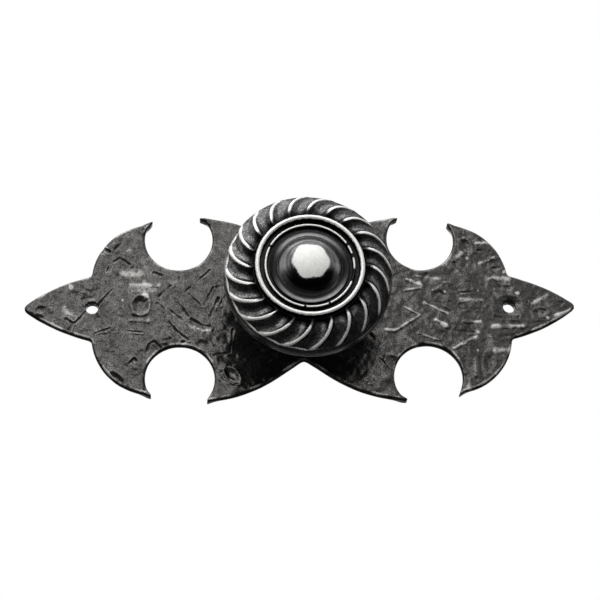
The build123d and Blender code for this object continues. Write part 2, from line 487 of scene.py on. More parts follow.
# Ridges that the hammer left standing: corners, half width and height
ridges = [
    ([(-41.2, 5.8), (-34.6, 5.6)], 0.42, 0.13),
    ([(-41.4, 4.2), (-35.4, 4.2)], 0.36, 0.10),
    ([(-41.4, -3.2), (-37.0, -3.4)], 0.40, 0.12),
    ([(-57.0, -0.4), (-55.0, -2.2)], 0.60, 0.08),
    ([(-43.0, 8.8), (-38.6, 8.6)], 0.60, 0.08),
    ([(-28.0, -4.0), (-25.6, -6.2)], 0.26, 0.10),
    ([(-26.0, -5.0), (-24.0, -6.2), (-22.0, -6.0)], 0.30, 0.14),
    ([(24.8, 0.0), (28.4, -2.2), (22.2, -6.2), (19.8, -6.0)], 0.26, 0.16),
    ([(29.8, 1.0), (35.2, -1.8)], 0.28, 0.16),
    ([(25.8, 7.2), (29.2, 5.6)], 0.32, 0.18),
    ([(25.2, 4.4), (29.0, 5.0)], 0.26, 0.13),
    ([(27.8, 8.2), (34.0, 7.2)], 0.26, 0.12),
    ([(32.2, -3.4), (34.6, -5.0)], 0.34, 0.18),
    ([(27.8, -6.9), (32.8, -8.7)], 0.26, 0.15),
    ([(25.8, -8.8), (27.4, -10.6)], 0.42, 0.12),
    ([(36.2, -10.8), (42.0, -7.8)], 0.30, 0.17),
    ([(39.0, 1.6), (43.8, 1.6)], 0.46, 0.15),
    ([(39.0, -3.9), (43.0, -4.1)], 0.36, 0.15),
    ([(43.6, 16.8), (47.0, 17.0)], 0.30, 0.15),
    ([(44.0, 11.4), (48.4, 13.2)], 0.36, 0.15),
    ([(46.0, 7.4), (50.8, 7.2)], 0.48, 0.15),
    ([(46.2, -5.2), (53.2, -5.2)], 0.40, 0.15),
    ([(46.4, -11.4), (49.8, -11.8)], 0.55, 0.12),
    ([(41.2, -13.6), (41.0, -17.8)], 0.36, 0.12),
    ([(39.4, -18.8), (39.2, -21.4)], 0.36, 0.12),
    ([(56.4, 0.8), (60.2, 3.0)], 0.40, 0.14),
    ([(61.8, -2.4), (65.0, -1.4)], 0.36, 0.14),
    ([(35.8, 11.0), (39.0, 9.0)], 0.40, 0.10),
    ([(38.4, 13.0), (40.6, 15.0)], 0.40, 0.10),
]

# Dents over the face: middle, half sizes, turn in degrees, depth and height of the raised rim
dents = [
    ((-38.8, 0.6), (2.0, 2.4), 0, 0.24, 0.14),
    ((-44.4, -18.2), (2.2, 1.1), -48, 0.34, 0.10),
    ((-17.2, -17.4), (2.4, 1.3), -50, 0.34, 0.12),
    ((-28.8, -8.9), (0.5, 0.5), 0, 0.36, 0.05),
    ((-62.6, -0.4), (1.4, 1.0), 20, 0.14, 0.04),
    ((-50.6, 3.4), (3.0, 1.6), 30, 0.10, 0.02),
    ((40.8, 15.8), (1.4, 2.2), 10, 0.18, 0.08),
    ((50.4, 0.0), (3.4, 3.0), 0, 0.14, 0.06),
    ((33.6, 3.0), (2.0, 1.4), -15, 0.12, 0.04),
    ((-34.8, -14.6), (2.6, 2.0), 15, 0.10, 0.03),
    ((58.0, -1.6), (1.8, 1.2), 10, 0.10, 0.04),
    ((-24.0, -9.8), (2.0, 1.4), -20, 0.12, 0.03),
    ((22.0, -14.6), (2.6, 1.6), -30, 0.12, 0.04),
    ((44.6, -14.4), (1.4, 2.6), -10, 0.14, 0.05),
]

# Spots on the face that are rubbed quite bright: middle, radius and strength
bright_spots = [
    ((-55.7, 5.4), 0.9, 0.9), ((-41.6, 15.1), 1.1, 0.5), ((-37.6, 3.0), 1.2, 0.5),
    ((-43.2, 2.0), 0.4, 0.8), ((28.6, 6.2), 0.8, 1.0), ((34.8, 3.8), 0.5, 0.7),
    ((43.0, 4.2), 0.5, 1.0), ((42.2, -6.6), 0.5, 1.0), ((40.5, 18.5), 0.6, 0.7),
    ((40.9, 12.9), 0.5, 0.9), ((52.6, 3.6), 0.6, 0.7), ((59.6, -3.1), 0.7, 1.0),
    ((33.8, -4.6), 0.9, 1.0), ((41.9, -11.4), 0.5, 1.0), ((49.8, 9.2), 0.6, 1.0),
    ((-16.6, -17.0), 0.6, 0.3), ((-22.8, -6.2), 0.8, 0.5), ((-28.2, -9.3), 0.4, 0.9),
]


def face_relief(x, y):
    """The hammered face: soft hollows of three sizes, chisel cuts, ridges left standing, and dents
    with a raised rim. Gives the height in millimetres and how far each place is rubbed."""
    height = 0.09 * noise(x, y, 6.5, 11) + 0.09 * noise(x, y, 2.6, 12) + 0.04 * noise(x, y, 0.9, 13)
    rubbed = 0.02 + 0.15 * noise(x, y, 3.1, 14) + 0.06 * noise(x, y, 0.7, 15)
    wander = 0.14 * noise(x, y, 1.3, 40)
    faint = np.clip(0.62 + 0.75 * noise(x, y, 1.9, 42), 0.05, 1.15)
    for corners, width, depth in cuts:
        gap = np.abs(distance_to_stroke(x, y, corners) + wander)
        cut = bump(gap, 0, 0.8 * width) * faint
        lip = bump(gap, 2.0 * width, 0.7 * width) * faint
        height += 0.7 * depth * (0.35 * lip - cut)
        rubbed += depth * (0.5 * lip - 1.2 * cut)
    rng = np.random.default_rng(17)
    for _ in range(gouge_count):
        cx, cy = rng.uniform(-66, 66), rng.uniform(-23, 23)
        reach, turn = rng.uniform(0.3, 1.4), rng.uniform(0, math.pi)
        width, depth = rng.uniform(0.18, 0.42), rng.uniform(-0.05, 0.09)
        dx, dy = reach * math.cos(turn), reach * math.sin(turn)
        near = np.flatnonzero((np.abs(x - cx) < 2.2) & (np.abs(y - cy) < 2.2))
        gap = distance_to_stroke(x[near], y[near], [(cx - dx, cy - dy), (cx + dx, cy + dy)])
        height[near] -= depth * bump(gap, 0, width)
        rubbed[near] -= 1.5 * depth * bump(gap, 0, width)
    for corners, width, rise in ridges:
        gap = np.abs(distance_to_stroke(x, y, corners) + wander)
        height += 0.75 * rise * bump(gap, 0, 1.3 * width)
        rubbed += 2.9 * rise * bump(gap, 0, 1.6 * width) * (0.9 + 0.45 * noise(x, y, 1.7, 41))
    for (cx, cy), (rx, ry), turn, depth, rim in dents:
        a = math.radians(turn)
        u = (x - cx) * math.cos(a) + (y - cy) * math.sin(a)
        v = (y - cy) * math.cos(a) - (x - cx) * math.sin(a)
        reach = np.hypot(u / rx, v / ry) + 0.08 * noise(x, y, 1.1, 16)
        height += rim * bump(reach, 1.12, 0.22) - depth * (1 - smooth(0.35, 1.05, reach))
        rubbed += 1.2 * rim * bump(reach, 1.1, 0.2)
    for (cx, cy), radius, strength in bright_spots:
        reach = np.hypot(x - cx, y - cy) / radius + 0.35 * noise(x, y, 0.7, 43)
        rubbed += 0.75 * strength * (1 - smooth(0.1, 1.1, reach))
    return height, rubbed


def round_hole(centre_x, radius):
    """Points a face step apart on a circle round a hole's middle."""
    count = int(2 * math.pi * radius / face_step)
    return arc((centre_x, 0), radius, 0, 360, count)


def face_points(edge):
    """Points for the face: close rows along the edge and round the holes, then a honeycomb."""
    into = inward(edge)
    rows = []
    for inset in edge_rows:
        row = edge + into * inset
        rows.append(row[distance_to(row, edge) > 0.97 * inset])
    for centre_x, radius in holes:
        rows += [round_hole(centre_x, radius + out) for out in rim_rows]
    half_x, half_y = np.abs(edge).max(0)
    x = np.arange(-half_x, half_x, face_step)
    y = np.arange(-half_y, half_y, face_step * math.sqrt(3) / 2)
    gx, gy = np.meshgrid(x, y)
    gx = gx + (np.arange(len(y)) % 2 * face_step / 2)[:, None]
    comb = np.stack([gx.ravel(), gy.ravel()], axis=-1)
    comb = comb[inside(comb, edge)]
    comb = comb[distance_to(comb, edge) > edge_rows[-1] + 0.6 * face_step]
    for centre_x, radius in holes:
        out = np.hypot(comb[:, 0] - centre_x, comb[:, 1])
        comb = comb[out > radius + rim_rows[-1] + 0.6 * face_step]
    return np.vstack([*rows, comb])


def inside(points, loop):
    """Whether each point lies inside a closed line: it does where a level line to the right of it
    crosses the line an odd number of times."""
    hits = np.zeros(len(points), int)
    for (x0, y0), (x1, y1) in zip(loop, np.roll(loop, -1, axis=0)):
        spans = (points[:, 1] < y0) != (points[:, 1] < y1)
        if y0 != y1:
            cross = x0 + (points[:, 1] - y0) * (x1 - x0) / (y1 - y0)
            hits += spans & (points[:, 0] < cross)
    return hits % 2 == 1


def fill(loops, extra):
    """Triangles over the first loop less the others, through the extra points. The loops' own
    points come first and keep their order."""
    points = np.vstack([*loops, extra]) if len(extra) else np.vstack(loops)
    edges, start = [], 0
    for loop in loops:
        ring = start + np.arange(len(loop))
        edges += np.stack([ring, np.roll(ring, -1)], axis=-1).tolist()
        start += len(loop)
    out = delaunay_2d_cdt([Vector(p) for p in points.tolist()], edges, [], 1, 1e-6, False)
    flat = np.array([(v.x, v.y) for v in out[0]])
    faces = np.array(out[2])
    doubtful = np.flatnonzero((faces < len(loops[0])).all(axis=1))
    outside = doubtful[~inside(flat[faces[doubtful]].mean(axis=1), loops[0])]
    faces = np.delete(faces, outside, axis=0)
    middles = flat[faces].mean(axis=1)
    for centre_x, radius in holes:
        keep = np.hypot(middles[:, 0] - centre_x, middles[:, 1]) > radius
        faces, middles = faces[keep], middles[keep]
    return flat, faces


def away_from_tips(points):
    """1 along the plate's edge, and falling to 0 in a bell at the tips of the horns."""
    x, y = np.abs(points).T
    share = np.ones(len(points))
    for angle in (outer_horn_angle, inner_horn_angle):
        tip = on_circle(scallop, scallop_radius, angle)
        share = share * (1 - bump(np.hypot(x - tip[0], y - tip[1]), 0, horn_reach))
    return share


def plate_top(flat, fine):
    """Height and rubbing of the face's points: relief round a level boss, rolled off in a quarter
    round at the edge and in a slighter one at the holes. The arris is rubbed in patches; where the
    edge faces down the rubbed band is brighter and lies further in, a painted highlight."""
    x, y = flat.T
    relief, rubbed = face_relief(x, y)
    level = np.minimum(face_height + relief, face_limit)
    boss = 1 - smooth(boss_radius, boss_radius + boss_fade, np.hypot(x, y))
    level = level + (plate_thickness - level) * boss
    gap = distance_to(flat, fine)
    roll = edge_round * (0.85 + 0.3 * noise(x, y, 3.3, 21)) * (0.2 + 0.8 * away_from_tips(flat))
    near = np.clip(roll - gap, 0, None)
    top = level - (roll - np.sqrt(roll**2 - near**2))
    for centre_x, radius in holes:
        out = np.hypot(x - centre_x, y) - radius
        top = top - 0.5 * np.clip(rim_round - out, 0, rim_round)**2 / rim_round
    # Edges that face down get a brighter band further in: a painted highlight
    low_edge = smooth(0.0, 0.7, rise_inward(flat, fine, gap))
    patchy = np.clip(0.45 + 0.6 * noise(x, y, 2.2, 22), 0, 1)
    arris = bump(gap, 0.34 + 0.22 * low_edge, 0.22) * patchy
    return top, rubbed + (0.35 + 0.85 * low_edge) * arris


def wall_under(loop, rim_top, outer):
    """Points of the wall under a loop, row by row. The outer wall slants in towards the back, but
    not at the horns' tips."""
    into = inward(loop) * (1 if outer else -1)
    slant = back_slant * away_from_tips(loop) if outer else np.zeros(len(loop))
    rows = []
    for share, slanted, inset in wall_rows:
        lowest = 0.0 if inset else back_round
        z = rim_top + (lowest - rim_top) * share
        rows.append(np.column_stack([loop + into * (slant * slanted + inset)[:, None], z]))
    return np.vstack(rows)


def make_backplate(material):
    """The face is a height over the plane. Its edge and the holes' rims carry walls down to a flat
    back."""
    fine = outline()
    edge = evenly(fine, outline_step)
    loops = [edge, *(round_hole(*hole) for hole in holes)]
    flat, faces = fill(loops, face_points(edge))
    top, rubbed = plate_top(flat, fine)
    points = [np.column_stack([flat, top])]
    marks = [rubbed]
    quads = []
    backs = []
    first = 0
    start = len(flat)
    for loop in loops:
        outer = loop is edge
        count = len(loop)
        wall = wall_under(loop, top[first:first + count], outer)
        ring = np.concatenate([first + np.arange(count), start + np.arange(len(wall))])
        order = np.array(sheet_faces(len(wall_rows) + 1, count))
        quads += ring[order if outer else order[:, ::-1]].tolist()
        points.append(wall)
        marks.append(np.full(len(wall), wall_rubbed))
        start += len(wall)
        backs.append(start - count + np.arange(count))
        first += count
    back_faces = np.concatenate(backs)[fill(loops, [])[1]][:, ::-1]
    triangles = faces.tolist() + back_faces.tolist()
    piece = add_piece(
        "chased_backplate", np.vstack(points), triangles + quads, np.concatenate(marks), material)
    rounded = np.ones(len(piece.data.polygons), bool)
    rounded[len(faces):len(triangles)] = False
    piece.data.polygons.foreach_set("use_smooth", rounded)
    return piece


# Knob

def bead(inner, outer, base, top, step):
    """A round ring's section: up its inner side, over its top and down its outer side."""
    half = (outer - inner) / 2
    return np.vstack([
        straight((inner, base), (inner, top - half), step),
        arc_through((inner, top - half), (inner + half, top), (outer, top - half), step),
        straight((outer, top - half), (outer, base), step),
    ])


def knob_section():
    """The knob's section as closely spaced points, from the dome's top over the rings, shoulder and
    lip, down the neck to the foot and into the tapped hole."""
    step = section_step
    floor = face_z - groove_depth
    ball = (dome_r**2 + dome_rise**2) / (2 * dome_rise)
    half = math.asin(dome_r / ball) / 2
    dome_side = (ball * math.sin(half), face_z + dome_rise - ball * (1 - math.cos(half)))
    cove_low = ((dome_r + cove_outer) / 2, face_z - cove_depth)
    bend = head_radius - shoulder_radius
    flare_r = neck_radius + flare_radius
    flare_z = dish_z - flare_radius
    foot_bend = foot_radius - neck_radius
    foot_top = foot_z + foot_height
    tap_z = foot_z + tap_depth
    return np.vstack([
        arc_through((0, face_z + dome_rise), dome_side, (dome_r, face_z), step),
        arc_through((dome_r, face_z), cove_low, (cove_outer, face_z), step),
        cornered([(cove_outer, face_z), (cove_outer, floor), (thin_inner, floor)], step),
        bead(thin_inner, thin_outer, floor, face_z + thin_height, step),
        straight((thin_outer, floor), (ring_inner, floor), step),
        bead(ring_inner, ring_outer, floor, face_z + ring_height, step),
        cornered([(ring_outer, floor), (shoulder_r, floor), (shoulder_r, face_z), (bend, face_z)], step),
        arc((bend, shoulder_z), shoulder_radius, 90, 0, 400),
        cornered([(head_radius, shoulder_z), (head_radius, lip_z), (lip_r, lip_z)], step),
        leaving_along((flare_r, dish_z), 0, (lip_r, lip_z), step)[::-1],
        arc((flare_r, flare_z), flare_radius, 90, 180, 380),
        straight((neck_radius, flare_z), (neck_radius, foot_top + foot_bend), step),
        arc((foot_radius, foot_top + foot_bend), foot_bend, 180, 270, 240),
        cornered([
            (foot_radius, foot_top), (foot_radius, foot_z), (tap_radius, foot_z),
            (tap_radius, tap_z), (0.05, tap_z),
        ], step),
    ])


def resampled(section):
    """The section's corners softened and its points spaced by what each stretch needs: close over
    the rings, the shoulder and the lip, wide over the dome, the dish, the neck and the foot."""
    along = np.concatenate([[0], np.cumsum(np.hypot(*np.diff(section, axis=0).T))])
    even = np.arange(0, along[-1], section_step)
    line = np.stack([np.interp(even, along, section[:, k]) for k in (0, 1)], axis=-1)
    reach = 12
    bell = np.exp(-0.5 * (np.arange(-reach, reach + 1) / 4.0) ** 2)
    padded = np.pad(line, ((reach, reach), (0, 0)), mode="reflect", reflect_type="odd")
    soft = np.stack([np.convolve(padded[:, k], bell / bell.sum(), "valid") for k in (0, 1)], axis=-1)
    r, z = soft.T
    front = np.cumsum(z <= lip_z + 0.05) == 0
    spacing = np.where(front, 0.21, 0.85)
    spacing = np.where(front & (r > dome_r - 0.3) & (r < shoulder_r + 0.3), 0.13, spacing)
    spacing = np.where(front & (r < dome_r - 0.3), 0.28, spacing)
    spacing = np.where((r > lip_r - 0.3) & (z < shoulder_z), 0.16, spacing)
    spacing = np.where((r < foot_radius - 0.2) & (z > foot_z + 0.3) & ~front, 0.9, spacing)
    rows = np.cumsum(1 / spacing)
    at = np.linspace(rows[0], rows[-1], int(rows[-1] * section_step))
    return np.stack([np.interp(at, rows, soft[:, k]) for k in (0, 1)], axis=-1)


def knob_columns():
    """The knob's columns round the axis: each one's flute, its place across the flute from -0.5 to
    0.5, closer together beside the crests, and its angle at the shoulder's inner edge."""
    u = (np.arange(columns_per_flute) + 0.5) / columns_per_flute * 2 - 1
    across = 0.5 * np.sign(u) * (0.45 * np.abs(u) + 0.55 * (1 - (1 - np.abs(u)) ** 2))
    flute = np.repeat(np.arange(flute_count), columns_per_flute)
    across = np.tile(across, flute_count)
    return flute, across, np.radians(flute_phase + 360 / flute_count * (flute + across))


def flute_cut(half, q, share, steady):
    """Depth below the turned surface at a distance q from the flute's middle, and the flute's half
    width: a round hollow that runs out towards the rim as the square of the way past its middle,
    and is as wide as its cutter at that depth, or as the pitch less the crest's land."""
    past = np.clip((share - flute_middle) / (flute_end - flute_middle), 0, 1)
    depth = flute_depth * (1 - past**2) * steady
    width = np.minimum(half - crest_land, np.sqrt(depth * (2 * flute_radius - depth)))
    width = np.maximum(width, 0.05)
    bow = (width**2 + depth**2) / (2 * np.maximum(depth, 1e-4))
    cut = np.sqrt(np.clip(bow**2 - q**2, 0, None)) - (bow - depth)
    return 0.5 * (cut + np.sqrt(cut**2 + 0.004)) * (depth > 1e-3), width


def crest_wear_and_highlight(way, turn, gap, beside, flute, flank):
    """The crests are rubbed, wider at their feet on the worn side, and there the flutes' ends are
    rubbed too. On flanks that face up the crests' bright band is wider still: a painted highlight."""
    uneven = np.random.default_rng(6).uniform(0, 1, flute_count)[flute]
    worn_side = smooth(0.45, 0.95, 0.5 + 0.5 * np.cos(turn - math.radians(worn_towards)))
    streak = noise(turn * 12, way * 0.9, 1.0, 32)
    foot = smooth(5.6, 9.2, way) * worn_side
    # Flanks that face up get a wider bright band: a painted highlight
    facing_up = np.clip(-flank * np.cos(turn), 0, 1)
    width = 0.46 + 0.012 * way + 0.55 * foot + 0.2 * facing_up
    crest = (1 - smooth(0.30, 1.0, gap / width)) * smooth(0.4 + uneven, 1.7 + uneven, way)
    end = crest_end - 0.9 + 2.0 * worn_side
    crest = crest * (1 - smooth(end - 0.9, end + 0.2, way)) * (0.86 + 0.14 * streak)
    flute_ends = 0.75 * bump(beside, 0.1, 0.26) * smooth(6.4, 8.6, way) * (way < 9.5) * worn_side
    return np.maximum(crest, flute_ends)


def ring_wear(r, z, turn):
    """The tops of both rings are rubbed, the thin one with breaks, and the lip in patches."""
    height = z - face_z
    grain_edge = 0.08 * noise(turn * 22, r * 2.5, 1.0, 35)
    on_ring = (r > ring_inner - 0.05) & (r < ring_outer + 0.05)
    ring = 0.95 * on_ring * smooth(0.76, 1.0, height + grain_edge)
    on_thin = (r > thin_inner - 0.05) & (r < thin_outer + 0.05)
    thin = on_thin * smooth(0.40, 0.55, height) * (0.85 + 0.3 * noise(turn * 3.2, 0 * turn, 1.0, 33))
    for middle, half_width in thin_ring_breaks:
        away = np.degrees(np.abs(np.angle(np.exp(1j * (turn - math.radians(middle))))))
        thin = thin * smooth(0.7 * half_width, 1.2 * half_width, away)
    patchy = 0.75 + 0.35 * noise(turn * 5, 0 * turn, 1.0, 36)
    lip = 0.85 * bump(np.hypot(r - head_radius, z - lip_z), 0, 0.24) * patchy
    return np.maximum.reduce([ring, thin, lip])


def dome_wear(r, z, turn):
    """The dome's middle is rubbed out to a wavy edge."""
    wander = noise(np.cos(turn) * 2.1, np.sin(turn) * 2.1, 1.0, 34)
    edge = 4.15 + 0.2 * np.cos(6 * turn) + 0.25 * wander
    scratch = noise(r * np.cos(turn), r * np.sin(turn) * 2.5, 0.35, 37)
    return (1 - smooth(edge - 0.3, edge + 0.2, r)) * (z > face_z) * (dome_rubbed + 0.06 * scratch)


def coat_streaks_and_shade(r, way, turn):
    """How dark the coat is made: 0 for as it is, and lower the darker. The dome is brushed in circles,
    and is lighter towards its edge and darker on its low side but for a lighter band along its low
    edge: painted light and shade. The cove is dark, less so at its top and bottom, and the shoulder
    beside the ring is dark: painted shade and light in those hollows."""
    # The dome: brushed streaks, with painted light towards its edge and painted shade on its low side
    shaded_low_side = smooth(0.1, 0.9, -np.sin(turn))
    brushed_and_shaded = -0.25 + 0.12 * noise(r * 4.0, turn * 1.6, 1.0, 39) + 0.20 * smooth(5.2, 6.6, r)
    brushed_and_shaded = brushed_and_shaded + shaded_low_side * (0.22 * bump(r, 7.4, 0.7) - 0.33)
    # The cove: painted shade, lighter at its top and bottom
    cove = -0.42 + 0.19 * smooth(0.1, 0.9, np.abs(np.sin(turn)))
    brushed_and_shaded = np.where(r > dome_r, cove, brushed_and_shaded)
    # The shoulder: sanded streaks, with painted shade beside the ring
    sanded_and_shaded = -0.08 + 0.10 * noise(turn * 14, way, 0.5, 44) - 0.37 * (1 - smooth(0.3, 2.2, way))
    return np.where(r < cove_outer - 0.1, brushed_and_shaded, sanded_and_shaded)


def over_shoulder(r, z):
    """For each row of the section: whether it comes before the rim, its way from the shoulder's
    inner edge over to the rim and down it, and that way's share of the whole shoulder."""
    bend = head_radius - shoulder_radius
    land = bend - shoulder_r
    full = land + shoulder_radius * math.pi / 2
    before_rim = np.arange(len(r))[:, None] <= np.argmax(z * (np.abs(r - head_radius) < 0.3))
    tilt = np.arctan2(np.clip(r - bend, 0, None), np.clip(z - shoulder_z, 1e-6, None))
    way = np.where(r < bend, r - shoulder_r, land + shoulder_radius * tilt)
    way = np.where(before_rim, way, full + np.clip(shoulder_z - z, 0, None))
    return before_rim, way, np.clip(way / full, 0, 1)


def make_knob(material, dome_material):
    """A turned surface of rows along the section and columns round the axis. The columns turn with
    the swirl over the shoulder, where each flute is a round hollow between thin crests, cut square
    to the surface and fading out above the rim. The dome and its cove have a finish of their own."""
    section = resampled(knob_section())
    section[0] = (0.0, face_z + dome_rise)
    along = np.gradient(section, axis=0)
    normal = np.stack([-along[:, 1], along[:, 0]], axis=-1)
    normal /= np.hypot(*normal.T)[:, None]
    r, z = section.T[:, :, None]
    run = np.hypot(*along.T)[:, None]
    before_rim, way, share = over_shoulder(r, z)
    on_shoulder = before_rim & (r > shoulder_r - 0.05)

    flute, across, start = knob_columns()
    swirl = -np.radians(flute_swirl) * share**flute_curl
    turn = start + swirl
    slant = np.arctan(np.abs(np.gradient(swirl, axis=0) / run) * r) * on_shoulder
    half = math.pi / flute_count * r * np.cos(slant)
    q = 2 * np.abs(across) * half
    uneven = 1 + 0.07 * np.random.default_rng(5).uniform(-1, 1, flute_count)[flute]
    steady = on_shoulder * smooth(shoulder_r - 0.02, shoulder_r + 0.12, r) * uneven
    cut, width = flute_cut(half, q, share, steady)
    pits = 0.020 * noise(turn * 14, way, 0.45, 31) + 0.025 * noise(turn * 14, way, 1.1, 38)
    cut = cut + pits * smooth(0.1, 0.5, cut)

    rr = r - cut * normal[:, :1]
    zz = z - cut * normal[:, 1:]
    points = np.stack([rr * np.cos(turn), rr * np.sin(turn), zz], axis=-1)
    front = before_rim | (z > lip_z - 0.2) & (r > lip_r)
    way = np.where(front, way, past_all_wear)
    # Wear, with the crests' painted highlight on flanks that face up
    wear_and_painted_light = np.maximum.reduce([
        crest_wear_and_highlight(way, turn, half - q, q - width, flute, np.sign(across)),
        ring_wear(r, z, turn),
        dome_wear(r, z, turn),
    ])
    # The coat's streaks and its painted shade and light, which darken the coat below zero
    streaks_and_shade = coat_streaks_and_shade(r, way, turn)
    rubbed = np.where(wear_and_painted_light > 0.01, np.maximum(wear_and_painted_light, streaks_and_shade), streaks_and_shade) * front

    rows, columns = turn.shape
    poles = np.array([[0.0, 0.0, face_z + dome_rise], [0.0, 0.0, section[-1, 1]]])
    whole = np.vstack([points[1:].reshape(-1, 3), poles])
    marks = np.concatenate([rubbed[1:].ravel(), [dome_rubbed, 0.0]])
    faces = sheet_faces(rows - 1, columns)
    last = (rows - 1) * columns
    faces += fan_faces(last, np.arange(columns))
    faces += fan_faces(last + 1, (rows - 2) * columns + np.arange(columns), outwards=False)
    piece = add_piece("swirled_knob", whole, faces, marks, material)
    piece.data.materials.append(dome_material)
    on_dome = (r[1:-1, 0] < cove_outer - 0.1) & (z[1:-1, 0] > shoulder_z)
    finish = np.repeat([*on_dome, True, False], columns).astype(np.int32)
    piece.data.polygons.foreach_set("material_index", finish)
    return piece


# Machine screw

def screw_shank(columns=40):
    """A round bar whose radius is a triangle wave of height less turn over pitch: the thread. It
    fades out under the head and is chamfered at the end. Gives its points and faces, closed at both
    ends."""
    heights = np.append(np.arange(0, screw_length, thread_pitch / 8), screw_length)
    turn = np.linspace(0, 2 * math.pi, columns, endpoint=False)
    wave = (heights[:, None] / thread_pitch - turn[None, :] / (2 * math.pi)) % 1.0
    tooth = np.clip(2.4 * np.abs(wave - 0.5) - 0.1, 0, 1)
    fade = smooth(0.3, 1.6, heights)[:, None]
    radius = screw_radius - 0.02 - thread_depth * tooth * fade
    tail = np.clip(screw_length - heights, 0, screw_chamfer)[:, None]
    radius = np.minimum(radius, screw_radius - screw_chamfer + tail)
    z = screw_seat + heights[:, None] + 0 * turn
    shank = np.stack([radius * np.cos(turn), radius * np.sin(turn), z], axis=-1)
    ends = np.array([[0.0, 0.0, screw_seat + screw_length], [0.0, 0.0, screw_seat]])
    last = (len(heights) - 1) * columns
    faces = np.array(sheet_faces(len(heights), columns))[:, ::-1].tolist()
    faces += fan_faces(last + columns, last + np.arange(columns))
    faces += fan_faces(last + columns + 1, np.arange(columns), outwards=False)
    return np.vstack([shank.reshape(-1, 3), ends]), faces


def screw_head(first):
    """A domed round on a square grid bent to a disc, with a cross pressed into it, and the flat
    seat under it. Gives its points and faces, with the points numbered from first."""
    half_w, half_l = recess_width / 2, recess_length / 2
    soft = 0.08
    inner = np.array([0.0, half_w * 0.5, half_w - soft, half_w + soft])
    outer = np.linspace(half_w + 0.35, half_l - soft, 6)
    rest = np.concatenate([[half_l + soft], np.linspace(half_l + 0.35, head_r, 7)])
    positive = np.concatenate([inner, outer, rest]) / head_r
    line = np.concatenate([-positive[:0:-1], positive])
    a, b = np.meshgrid(line, line, indexing="ij")
    x = head_r * a * np.sqrt(1 - b * b / 2)
    y = head_r * b * np.sqrt(1 - a * a / 2)
    reach = np.clip(np.hypot(x, y) / head_r, 0, 1)
    rim = 1 - np.sqrt(np.clip(1 - reach**6, 0, 1))
    dome = head_height - head_round * rim - head_crown * reach**2
    first_arm = (np.abs(a * head_r) < half_w) & (np.abs(b * head_r) < half_l)
    second_arm = (np.abs(b * head_r) < half_w) & (np.abs(a * head_r) < half_l)
    middle_out = np.maximum(np.abs(a), np.abs(b)) * head_r
    deep = recess_depth * (1 - 0.55 * smooth(half_w, half_l, middle_out))
    dome = dome - deep * (first_arm | second_arm)
    top = np.stack([x, y, screw_seat - dome], axis=-1).reshape(-1, 3)

    grid = np.arange(len(top)).reshape(a.shape)
    quads = np.stack([grid[:-1, :-1], grid[:-1, 1:], grid[1:, 1:], grid[1:, :-1]], axis=-1)
    border = np.concatenate([grid[0, :-1], grid[:-1, -1], grid[-1, :0:-1], grid[:0:-1, 0]])
    seat = top[border]
    seat[:, 2] = screw_seat
    below = len(top) + np.arange(len(border))
    side = np.stack([border, below, np.roll(below, -1), np.roll(border, -1)], axis=-1)
    faces = (first + np.vstack([quads.reshape(-1, 4), side])).tolist()
    faces += fan_faces(first + len(top) + len(border), first + below, outwards=False)
    return np.vstack([top, seat, [[0.0, 0.0, screw_seat]]]), faces


def make_screw(material):
    """The threaded shank and the head that sits on the door's inside."""
    shank, shank_faces = screw_shank()
    head, head_faces = screw_head(len(shank))
    whole = np.vstack([shank, head])
    marks = np.full(len(whole), screw_rubbed)
    return add_piece("threaded_screw", whole, shank_faces + head_faces, marks, material)


# Finishes

def socket_group(name, inputs, outputs):
    """An empty node group. Its inputs are given as name, kind and value, its outputs as name and
    kind."""
    group = bpy.data.node_groups.new(name, "ShaderNodeTree")
    for label, kind, value in inputs:
        made = group.interface.new_socket(label, in_out="INPUT", socket_type=kind)
        made.default_value = value
    for label, kind in outputs:
        group.interface.new_socket(label, in_out="OUTPUT", socket_type=kind)
    return group, group.nodes.new("NodeGroupInput"), group.nodes.new("NodeGroupOutput")


def math_node(tree, operation, *values):
    """A Math node fed by sockets or numbers; gives its output."""
    node = tree.nodes.new("ShaderNodeMath")
    node.operation = operation
    for socket, value in zip(node.inputs, values):
        if isinstance(value, (int, float)):
            socket.default_value = value
        else:
            tree.links.new(value, socket)
    return node.outputs[0]


def noise_node(tree, place, scale, detail, rough):
    """A Noise Texture at a place; gives its factor."""
    node = tree.nodes.new("ShaderNodeTexNoise")
    node.inputs["Scale"].default_value = scale
    node.inputs["Detail"].default_value = detail
    node.inputs["Roughness"].default_value = rough
    tree.links.new(place, node.inputs["Vector"])
    return node.outputs["Fac"]


def ranged(tree, value, low, high, out_low=0.0, out_high=1.0):
    """A value from one range carried softly to another, and held at the ends."""
    node = tree.nodes.new("ShaderNodeMapRange")
    node.interpolation_type = "SMOOTHSTEP"
    tree.links.new(value, node.inputs["Value"])
    ends = {"From Min": low, "From Max": high, "To Min": out_low, "To Max": out_high}
    for label, number in ends.items():
        node.inputs[label].default_value = number
    return node.outputs["Result"]


def scaled(tree, vector, factor):
    """A vector or a colour times a factor."""
    node = tree.nodes.new("ShaderNodeVectorMath")
    node.operation = "SCALE"
    tree.links.new(vector, node.inputs[0])
    tree.links.new(factor, node.inputs["Scale"])
    return node.outputs["Vector"]


def ways_of_seeing(tree):
    """1 where the camera sees a thing itself, and 1 where it shows in a reflection or through
    glass."""
    outputs = tree.nodes.new("ShaderNodeLightPath").outputs
    mirrored = math_node(tree, "MAXIMUM", outputs["Is Glossy Ray"], outputs["Is Transmission Ray"])
    return outputs["Is Camera Ray"], mirrored


